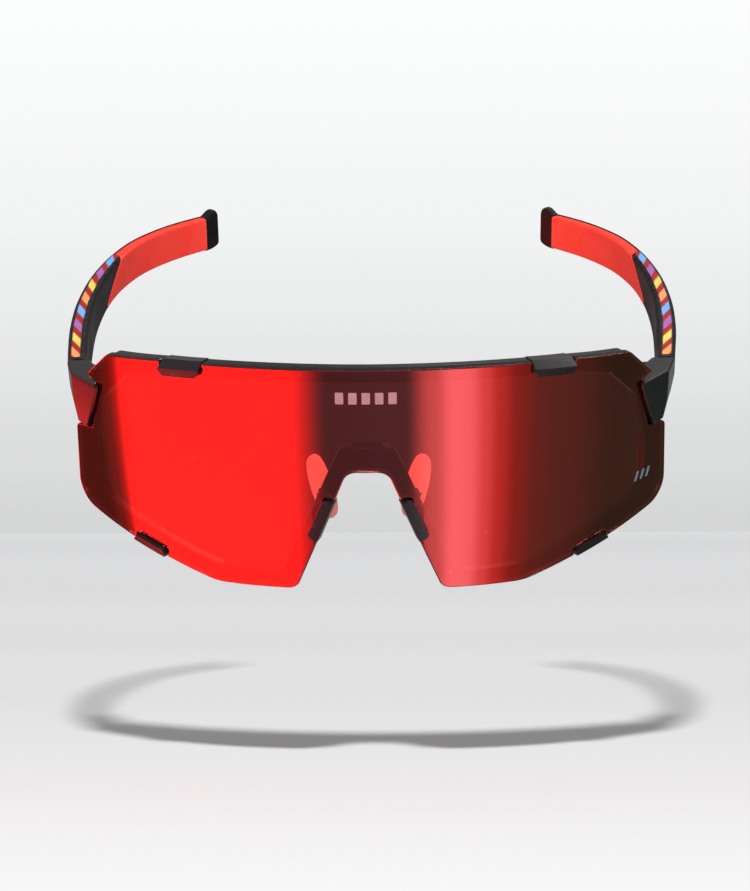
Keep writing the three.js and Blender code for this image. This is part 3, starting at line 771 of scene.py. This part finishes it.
armLength = armShape["stations"][-1][0] - armShape["stations"][0][0]
tipShare = 1 - armShape["tipLength"] / (armLength * 1.25)


def station(share):
    rows = armShape["stations"]
    at = min(max(share, 0), 1) * (len(rows) - 1)
    i = min(int(at), len(rows) - 2)
    t = at - i
    a, b, c, d = (rows[min(max(k, 0), len(rows) - 1)] for k in (i - 1, i, i + 1, i + 2))
    return b + 0.5 * t * (c - a + t * (2 * a - 5 * b + 4 * c - d + t * (3 * (b - c) + d - a)))


def armPoint(share, inward, down):
    y, x, _, top, _ = station(share)
    before, after = station(share - 0.01), station(share + 0.01)
    along = Vector((after[1] - before[1], after[0] - before[0])).normalized()
    return (x - along.y * inward, y + along.x * inward, top - down)


def armSection(share, inset=0.0):
    # the tip swells upwards, dips in the middle of its end and is cut away below
    _, _, thick, _, height = station(share)
    t = min(max((share - tipShare) / (1 - tipShare), 0), 1)
    rise = armShape["flare"] * math.sin(math.pi * t * 0.85) ** 1.5
    r = min(1.1, thick * 0.3)
    low, high = inset, thick - inset
    tuck = armShape["tuck"] * max(0, 1 - share / armShape["tuckEnd"])
    top, deep = inset - rise, height - armShape["cut"] * t * t - inset
    corners = [(low, top, r * 1.25), (high, top, r * 1.1), (high, deep, r * 0.8), (low + tuck, deep, r * 0.8)]
    return rounded(corners, 0.32)


def armLoft(name, start, end, count, inset=lambda t: 0.0):
    rings = []
    for i in range(count + 1):
        share = start + (end - start) * i / count
        rings.append([armPoint(share, a, b) for a, b in armSection(share, inset(i / count))])
    return loft(name, rings)


def gripLoft(name, isSeat, count=70):
    # the seat for the grip is open above, below and inside
    g = gripShape
    grow = 0.05 if isSeat else 0
    out = 1.5 if isSeat else 0
    rings = []
    for i in range(count + 1):
        past = grow * 0.01 * (1 if i == count else -1 if i == 0 else 0)
        t = i / count
        share = g["start"] + (tipShare - 0.002 - g["start"]) * t + past
        _, _, thick, _, height = station(share)
        rise = min(max((share - g["start"]) / (g["full"] - g["start"]), 0), 1)
        lean = rise ** 0.9
        low = height - g["margin"] + out
        high = g["margin"] - out
        if rise < 1:
            high = (height - g["margin"] - 1.2) * (1 - lean) + g["margin"] * lean - grow
        shell, inner = g["shell"] - grow, thick + g["proud"] + out
        r = 0.02 if isSeat else g["round"]
        corners = [(inner, high, r), (shell, high, r * 0.3), (shell, low, r * 0.3), (inner, low, r)]
        outline = rounded(corners, 0.4)
        rings.append([armPoint(share, a, b) for a, b in outline])
    return loft(name, rings)


def stripLoft(name, grow, count=60):
    rings = []
    for i in range(count + 1):
        past = grow * 0.01 * (1 if i == count else -1 if i == 0 else 0)
        share = stripShape["start"] + (stripShape["end"] - stripShape["start"]) * i / count + past
        outer = stripShape["edges"][0] - grow
        inner = min(stripShape["edges"][1], station(share)[2] - 1.0) + grow
        deep = stripShape["deep"] + grow
        tops = (-1, -1, -1) if grow else (-0.02, -0.02, 0.13)
        ring = zip((inner, 1.4, outer, outer, inner), (*tops, deep, deep))
        rings.append([armPoint(share, a, b) for a, b in ring])
    return loft(name, rings)


def makeArm():
    arm = armLoft("templeArmLeft", 0, tipShare, armShape["rings"])
    h = hingeShape
    carve(arm, [gripLoft("seat", True), stripLoft("groove", 0.06)])
    soften(arm, 0.22, 2, 40)
    x, y = hingeAt["x"], hingeAt["y"]
    lug = [(x + h["knuckle"] * math.cos(a), y + h["knuckle"] * math.sin(a))
           for a in np.linspace(math.radians(50), math.radians(318), 30)]
    lug += [(x + 4.0, y - 1.6), (x + 4.0, y + 1.9)]
    knuckle = prism("knuckle", lug, h["midBottom"], h["midTop"])
    soften(knuckle, 0.25, 2, 40)
    carve(arm, [knuckle], "UNION")
    return carve(arm, [prism("hole", disc(h["sleeve"] + h["slack"]), h["midBottom"] - 1, h["midTop"] + 1)])


def makeGrip():
    return gripLoft("templeGripLeft", False)


def makeTip():
    # a full round closes the end
    closing = lambda t: 1.2 * (1 - math.sqrt(max(1 - (max(t - 0.72, 0) / 0.28) ** 2, 0.02)))
    return armLoft("templeTipLeft", tipShare + 0.0004, 1, 36, closing)


stripeLook = {"pitch": 9.3, "first": 47.3, "slant": 2.3, "band": (0.95, 1.25, 3.0, 3.35),
              "colours": [(1.0, 0.34, 0.12), (0.78, 0.62, 0.12), (0.36, 0.13, 0.42), (0.16, 0.42, 0.86)],
              "between": (0.36, 0.012, 0.01), "beside": (0.012, 0.008, 0.008)}


def stripePrint():
    # slanted bars in four colours in turn, a darker red bar between each two
    material, tree, shader = newMaterial("stripePrint", Specular_IOR_Level=0.2)
    uv = readUv(tree, "alongStrip")
    look = stripeLook
    slanted = maths(tree, "ADD", uv["X"], maths(tree, "MULTIPLY", uv["Y"], look["slant"]))
    past = maths(tree, "SUBTRACT", slanted, look["first"] - look["pitch"] / 2)
    turn = maths(tree, "MODULO", maths(tree, "ADD", maths(tree, "DIVIDE", past, look["pitch"]), 8), 4)
    stops = []
    for i, colour in enumerate(look["colours"]):
        stops += [(i + 0.0, look["between"]), (i + 0.16, look["between"]), (i + 0.29, colour),
                  (i + 0.71, colour), (i + 0.84, look["between"])]
    ramp = rampNode(tree, [(at / 4, colour) for at, colour in stops], "LINEAR")
    wire(tree, (maths(tree, "DIVIDE", turn, 4), ramp.inputs["Fac"]))
    low, lowFull, highFull, high = look["band"]
    above, below = mapRange(tree, uv["Y"], low, lowFull), mapRange(tree, uv["Y"], high, highFull)
    inBand = maths(tree, "MULTIPLY", above, below)
    grain = useGroup(tree, grainGroup, Cloud_Scale=300)
    colour = mixColour(tree, inBand, look["beside"], ramp.outputs["Color"])
    stain = mapRange(tree, grain.outputs["Cloud"], 0.45, 0.9, 0, 0.35)
    colour = mixColour(tree, stain, colour, (0.1, 0.03, 0.03))
    gloss = mapRange(tree, grain.outputs["Cloud"], 0.3, 0.7, 0.3, 0.45)
    setSurface(tree, shader, colour, gloss)
    return material


def makeStrip():
    return stripLoft("stripeStripLeft", 0)


arms = bothSides(makeArm, "left_temple", "arm", armPlastic)
grips = bothSides(makeGrip, "left_temple", "grip", gripRubber)
tips = bothSides(makeTip, "left_temple", "tip", tipRubber)
strips = bothSides(makeStrip, "left_temple", "strip", stripePrint())
for pieces, node in ((arms, "temple_arm"), (grips, "temple_grip"), (tips, "temple_tip"),
                     (strips, "stripe_strip")):
    for piece, side in zip(pieces, ("left", "right")):
        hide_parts(f"{node}_{side}")


def stripPlace(p):
    # millimetres back along the arm and in from its outer face
    back = (p.y * 1000 - backShift) * leanCos - (p.z * 1000 - upShift) * leanSin
    outer = np.interp(back, armShape["stations"][:, 0], armShape["stations"][:, 1])
    return back, outer - abs(p.x * 1000)


for strip in strips:
    writeUv(strip.data, "alongStrip", lambda i: stripPlace(strip.data.vertices[i].co))
print("temples made")

# nose bracket and pads
bracketShape = {"thick": 1.6, "edge": 0.3, "clipHalf": 3.4, "clipTop": -20.5, "latchLow": -22.4,
                "catchLow": -21.4, "corners": [
    (5.6, -22.1, 2.5), (15.6, -45.0, 1.2), (12.6, -46.2, 1.2), (5.2, -27.6, 2.5)]}
bracketFront = rimBack - rimShape["gap"]
bracketBack = bracketFront - bracketShape["thick"]
padShape = {"long": 22, "wide": 8.5, "thick": 3.0, "at": Vector((9.8, 16.6, -37.6)),
            "facing": Vector((-0.80, 0.50, 0.33)).normalized(), "up": Vector((-0.27, -0.12, 1)), "inset": 2.0}
# arm of a pad: where it leaves the bracket (along the brow, up, how far in) and where it meets the pad
padArmShape = {"root": (10.9, -36.4, 0.4), "end": (10.7, 14.2, -39.4), "pinch": 0.22, "rings": 9}
padAway = -padShape["facing"]
padUp = (padShape["up"] - padAway * padShape["up"].dot(padAway)).normalized()
padAcross = padUp.cross(padAway)


def onPad(x, y, z):
    return tuple(padShape["at"] + padAcross * x + padUp * y + padAway * z)


def oval(shrink, z, count=48):
    a, b = padShape["wide"] / 2 - shrink, padShape["long"] / 2 - shrink
    return [onPad(a * math.cos(t), b * math.sin(t), z) for t in around(count)]


def makePad():
    # soft oval pad: full rounded rim, flat bearing face, a stepped lip round its back
    t = padShape["thick"]
    rings = [oval(2.4, 0.0), oval(1.5, 0.03), oval(0.9, 0.14)]
    for i in range(9):
        a = math.pi * i / 8
        rings.append(oval(0.62 - 0.6 * math.sin(a), t * (0.5 - 0.38 * math.cos(a))))
    rings += [oval(0.95, t - 0.1), oval(1.5, t), oval(2.4, t)]
    return loft("nosePadLeft", rings)


def makeBracket():
    half = bracketShape["corners"]
    outline = rounded(list(half) + [(-u, v, r) for u, v, r in reversed(half)])
    yoke = prism("noseBracket", outline, bracketBack, bracketFront)
    half, top = bracketShape["clipHalf"], bracketShape["clipTop"]
    for part, front in (("latch", bracketFront - 0.1), ("catch", rimFront - 0.4)):
        low = bracketShape[f"{part}Low"]
        block = [(-half, low), (half, low), (half, top), (-half, top)]
        carve(yoke, [prism(part, block, bracketBack, front)], "UNION")
    return soften(yoke, bracketShape["edge"], 3)


def makePadArm():
    t = padShape["thick"]
    stem = []
    for r, z in ((0.75, t - 1.2), (1.0, t - 0.9), (1.0, t + 0.3), (1.15, t + 0.7)):
        stem.append([onPad(r * math.cos(a) - padShape["inset"], r * math.sin(a), z) for a in around(24)])
    peg = loft("padArmLeft", stem)
    u, v, sunk = padArmShape["root"]
    root = [wrapped((u + x, v + z, bracketFront - sunk))[0]
            for x, z in ((-1.3, 2.2), (1.3, 2.2), (1.3, -2.8), (-1.3, -2.8))]
    endX, endY, endZ = padArmShape["end"]
    end = [(endX + x, endY, endZ + z) for x, z in ((-1.1, 1.7), (1.1, 1.7), (1.1, -1.7), (-1.1, -1.7))]
    rings = []
    for k in range(padArmShape["rings"]):
        s = k / (padArmShape["rings"] - 1)
        pinch = 1 - padArmShape["pinch"] * math.sin(math.pi * s)
        ring = [Vector(a) * (1 - s) + Vector(b) * s for a, b in zip(root, end)]
        middle = sum(ring, Vector()) / 4
        rings.append([tuple(middle + (p - middle) * pinch) for p in ring])
    stub = loft("stub", rings)
    soften(stub, 0.4, 3, 40)
    clear = [[onPad(x, y, z) for x, y in ((-14, -20), (14, -20), (14, 20), (-14, 20))]
             for z in (-9, t + 0.08)]
    carve(stub, [loft("clear", clear)])
    return carve(peg, [stub], "UNION")


bracket = finishPiece(makeBracket(), "front", "bracket", bracketPlastic, bendGrid["small"])
padArms = bothSides(makePadArm, "front", "bracket", bracketPlastic)
for piece in (bracket, *padArms):
    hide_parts("nose_bracket")
for pad, side in zip(bothSides(makePad, "front", "pad", padRubber, limit=60), ("left", "right")):
    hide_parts(f"nose_pad_{side}")
print("nose bracket and pads made")

# camera
cameraLook = {"distance": 504.4, "above": 22.5, "yaw": -1.7128, "roll": -0.9474, "focal": 2267,
              "target": (365.16, 362.0)}
frameSize = (750, 891)


def makeCamera():
    c = cameraLook
    above, yaw, roll = (math.radians(c[k]) for k in ("above", "yaw", "roll"))
    ahead = Vector((math.sin(yaw) * math.cos(above), math.cos(yaw) * math.cos(above), -math.sin(above)))
    right = Vector((math.cos(yaw), -math.sin(yaw), 0))
    up = right.cross(ahead)
    right, up = (right * math.cos(roll) + up * math.sin(roll), up * math.cos(roll) - right * math.sin(roll))
    at = Vector(toFrame([-ahead * c["distance"]])[0])
    offX, offY = c["target"][0] - frameSize[0] / 2, frameSize[1] / 2 - c["target"][1]
    look = (ahead - right * offX / c["focal"] - up * offY / c["focal"]).normalized()
    right = (right - look * right.dot(look)).normalized()
    up = right.cross(look)
    axes = [Vector(turnToFrame([v])[0]) for v in (right, up, -look)]
    camera = bpy.data.cameras.new("camera")
    camera.sensor_width = 36
    camera.sensor_fit = "AUTO"
    camera.lens = c["focal"] * 36 / frameSize[1]
    camera.clip_start = 0.01
    obj = newPiece("camera", camera)
    turn = Matrix((axes[0], axes[1], axes[2])).transposed()
    obj.matrix_world = Matrix.Translation(at) @ turn.to_4x4()
    scene.camera = obj
    return Vector(at), axes


cameraAt, (cameraRight, cameraUp, cameraBack) = makeCamera()

# studio
studio = {"floorTilt": 26.44, "floorDrop": -94.27, "floorReach": 0.363, "floor": (0.86, 0.86, 0.865),
          "floorHalf": 12, "farthest": 0.03, "nearSpan": 1.3, "glowSpan": 1.34,
          # colour of the painted-shade sheet that shows through the lens
          "shadeUnderLens": (0.02, 0.012, 0.012),
          "world": (0.90, 0.905, 0.92), "worldStrength": 0.30,
          "wallAt": 9.0, "wallHalf": 9, "wallFoot": 640, "wallOver": 40,
          "cardRadius": 0.9, "cardFrom": -138, "cardTo": 138, "cardLow": -0.85, "cardHigh": 0.30,
          "cardSteps": 92}
floorLamp = {"at": (0, -281, 580), "strength": 41.0, "size": 0.03}
# glow of the floor from the distance to the front
farGlow = [(0.0, 0.50), (0.067, 0.36), (0.167, 0.24), (0.266, 0.13), (0.366, 0.045),
           (0.448, 0.02), (0.56, 0.0), (1.0, 0.0)]
# brightness of the wall from its foot upwards
wallStops = [(0.0, 0.75), (0.06, 0.735), (0.132, 0.70), (0.162, 0.665), (0.28, 0.72), (0.426, 0.80),
             (0.5, 0.84), (0.65, 0.905), (0.79, 0.947), (0.912, 0.973), (1.0, 0.98)]
# reflected light by direction: degrees round from straight ahead, colour, strength
cardStops = [(-138, (0.05, 0.03, 0.03), 1.0), (-122, (0.05, 0.03, 0.03), 1.0), (-117, (1.0, 0.03, 0.03), 4.5),
             (-104, (1.0, 0.03, 0.03), 4.5), (-97, (0.14, 0.06, 0.05), 1.0),
             (-84, (0.14, 0.07, 0.05), 1.0), (-79, (0.30, 0.09, 0.07), 1.0), (-76.5, (0.70, 0.10, 0.08), 1.0),
             (-74, (1.0, 0.09, 0.08), 2.2), (-68, (1.0, 0.06, 0.055), 4.0), (-28, (1.0, 0.07, 0.065), 3.4),
             (-12, (0.12, 0.16, 0.20), 1.0), (9, (0.13, 0.2, 0.24), 1.0), (16.5, (1.0, 0.7, 0.8), 1.15),
             (22, (1.0, 0.82, 1.0), 1.9), (26, (1.0, 0.78, 0.95), 1.85), (31, (1.0, 0.45, 0.5), 1.35),
             (34.5, (1.0, 0.28, 0.28), 0.92), (40, (1.0, 0.35, 0.28), 0.42), (46, (0.21, 0.17, 0.13), 1.0),
             (52, (0.15, 0.17, 0.13), 1.0), (72, (0.05, 0.13, 0.09), 1.0), (138, (0.05, 0.07, 0.06), 1.0)]


def coolStops(levels):
    # brightness levels as a slightly cool white
    return [(at, (v, v * 1.004, v * 1.012)) for at, v in levels]


def onlySeenBy(obj, *kinds):
    for kind in ("camera", "diffuse", "glossy", "transmission", "shadow", "volume_scatter"):
        setattr(obj, f"visible_{kind}", kind in kinds)


def outwardMesh(mesh, direction):
    # turns every face to the side the direction points to
    with edited(mesh) as bm:
        bm.normal_update()
        bmesh.ops.reverse_faces(bm, faces=[f for f in bm.faces if f.normal.dot(direction) < 0])
    return mesh


def stagePiece(mesh, *kinds):
    obj = newPiece(mesh.name, mesh)
    onlySeenBy(obj, *kinds)
    return obj


def makeFloor(rows=48):
    # falls away gently towards the back; its rows close up with distance
    tilt = math.radians(studio["floorTilt"])
    normal = Vector(turnToFrame([(0, math.sin(tilt), math.cos(tilt))])[0])
    along = Vector(turnToFrame([(0, math.cos(tilt), -math.sin(tilt))])[0])
    drop = studio["floorDrop"]
    middle = Vector(toFrame([(0, drop * math.sin(tilt), drop * math.cos(tilt))])[0])
    foot = cameraAt - normal * normal.dot(cameraAt - middle)
    verts, faces = [], []
    for i in range(rows + 1):
        near = studio["farthest"] + studio["nearSpan"] * (i / rows) ** 1.5
        row = foot + along * studio["floorReach"] / near
        verts += [row + Vector((x, 0, 0)) for x in (-studio["floorHalf"], studio["floorHalf"])]
    for i in range(rows):
        faces.append((2 * i, 2 * i + 1, 2 * i + 3, 2 * i + 2))
    mesh = outwardMesh(meshFrom("floor", verts, faces), normal)
    reach = studio["floorReach"] / studio["glowSpan"]
    writeUv(mesh, "nearness", lambda i: (0.5, reach / (mesh.vertices[i].co - foot).dot(along)))
    material, tree, shader = newMaterial("floor", Roughness=1.0, Specular_IOR_Level=0.0,
                                         Emission_Strength=1.0, Base_Color=(*studio["floor"], 1))
    ramp = rampNode(tree, coolStops(farGlow))
    wire(tree, (readUv(tree, "nearness")["Y"], ramp.inputs["Fac"]),
         (ramp.outputs["Color"], shader.inputs["Emission Color"]))
    mesh.materials.append(material)
    return stagePiece(mesh, "camera", "diffuse", "shadow")


# painted shade: a dark sheet below the glasses, seen only through the lens, darkens what shows through it
def makePaintedShadeBelow(height=-0.041, size=14):
    corners = [(-size, -size, height), (size, -size, height), (size, size, height), (-size, size, height)]
    mesh = meshFrom("shadeSheetUnderLens", corners, [(0, 1, 2, 3)])
    material, _, _ = newMaterial("shadeSheetUnderLens", Roughness=0.8, Base_Color=(*studio["shadeUnderLens"], 1))
    mesh.materials.append(material)
    stagePiece(mesh, "transmission")


def glowRamp(name, stops, axis, layerName):
    material = bpy.data.materials.new(name)
    material.use_nodes = True
    tree = material.node_tree
    tree.nodes.clear()
    out = tree.nodes.new("ShaderNodeOutputMaterial")
    glow = tree.nodes.new("ShaderNodeEmission")
    ramp = rampNode(tree, stops)
    wire(tree, (readUv(tree, layerName)[axis], ramp.inputs["Fac"]),
         (ramp.outputs["Color"], glow.inputs["Color"]), (glow.outputs[0], out.inputs["Surface"]))
    return material


def makeWall():
    # a pale wall far behind, brighter towards its top
    scale = studio["wallAt"] / cameraLook["focal"]
    half, middle = studio["wallHalf"], frameSize[1] / 2
    low, high = (middle - studio["wallFoot"]) * scale, (middle + studio["wallOver"]) * scale
    centre = cameraAt - cameraBack * studio["wallAt"]
    corners = [centre + cameraRight * x + cameraUp * y
               for x, y in ((-half, low), (half, low), (half, high), (-half, high))]
    mesh = meshFrom("wall", corners, [(0, 1, 2, 3)])
    writeUv(mesh, "upWall", lambda i: (0.5, i // 2))
    mesh.materials.append(glowRamp("wall", coolStops(wallStops), "Y", "upWall"))
    return stagePiece(mesh, "camera")


floor, wall = makeFloor(), makeWall()
makePaintedShadeBelow()


def makeCard():
    # curved card that only gives reflections
    steps, span = studio["cardSteps"], studio["cardTo"] - studio["cardFrom"]
    verts, faces = [], []
    for i in range(steps + 1):
        a = math.radians(studio["cardFrom"] + span * i / steps)
        for z in (studio["cardLow"], studio["cardHigh"]):
            verts.append((studio["cardRadius"] * math.sin(a), -studio["cardRadius"] * math.cos(a), z))
    for i in range(steps):
        faces.append((2 * i, 2 * i + 2, 2 * i + 3, 2 * i + 1))
    mesh = meshFrom("reflectionCard", verts, faces)
    writeUv(mesh, "round", lambda i: ((i // 2) / steps, i % 2))
    stops = [((angle - studio["cardFrom"]) / span, tuple(c * strength for c in colour))
             for angle, colour, strength in cardStops]
    mesh.materials.append(glowRamp("reflectionCard", stops, "X", "round"))
    stagePiece(mesh, "glossy")


makeCard()


def makeLight(name, at, size, power, glossy=True):
    light = bpy.data.lights.new(name, "AREA")
    light.shape = "RECTANGLE"
    light.size, light.size_y = size
    light.energy = power
    obj = newPiece(name, light)
    obj.location = at
    obj.rotation_euler = (Vector((0, 0, 0)) - Vector(at)).to_track_quat("-Z", "Y").to_euler()
    obj.visible_glossy = glossy
    return obj


objectLights = [makeLight("overhead", (0.0, -0.15, 1.5), (0.55, 0.4), 20, glossy=False),
                makeLight("rearFill", (0.5, 1.3, 0.9), (0.9, 0.5), 5),
                makeLight("frontFill", (0.0, -1.6, 1.0), (1.6, 0.8), 19, glossy=False)]


def makeFloorLight():
    # lights the floor only, evenly however far, so that the glasses throw one clear shadow
    light = bpy.data.lights.new("floorLight", "POINT")
    light.shadow_soft_size = floorLamp["size"]
    light.energy = floorLamp["strength"]
    light.use_nodes = True
    tree = light.node_tree
    fall = tree.nodes.new("ShaderNodeLightFalloff")
    fall.inputs["Strength"].default_value = 1.0
    glow = tree.nodes["Emission"]
    wire(tree, (fall.outputs["Constant"], glow.inputs["Strength"]))
    obj = newPiece("floorLight", light)
    obj.location = toFrame([floorLamp["at"]])[0]
    return obj


def shareLight():
    # the floor light reaches only the floor and the others only the glasses
    ground = bpy.data.collections.new("ground")
    ground.objects.link(floor)
    things = bpy.data.collections.new("things")
    for obj in scene.objects:
        if obj.type == "MESH" and obj not in (floor, wall):
            things.objects.link(obj)
    makeFloorLight().light_linking.receiver_collection = ground
    for light in objectLights:
        light.light_linking.receiver_collection = things


shareLight()

world = bpy.data.worlds.new("studio")
world.use_nodes = True
world.node_tree.nodes["Background"].inputs["Color"].default_value = (*studio["world"], 1)
world.node_tree.nodes["Background"].inputs["Strength"].default_value = studio["worldStrength"]
scene.world = world
scene.view_settings.view_transform = "Standard"
print("studio set")
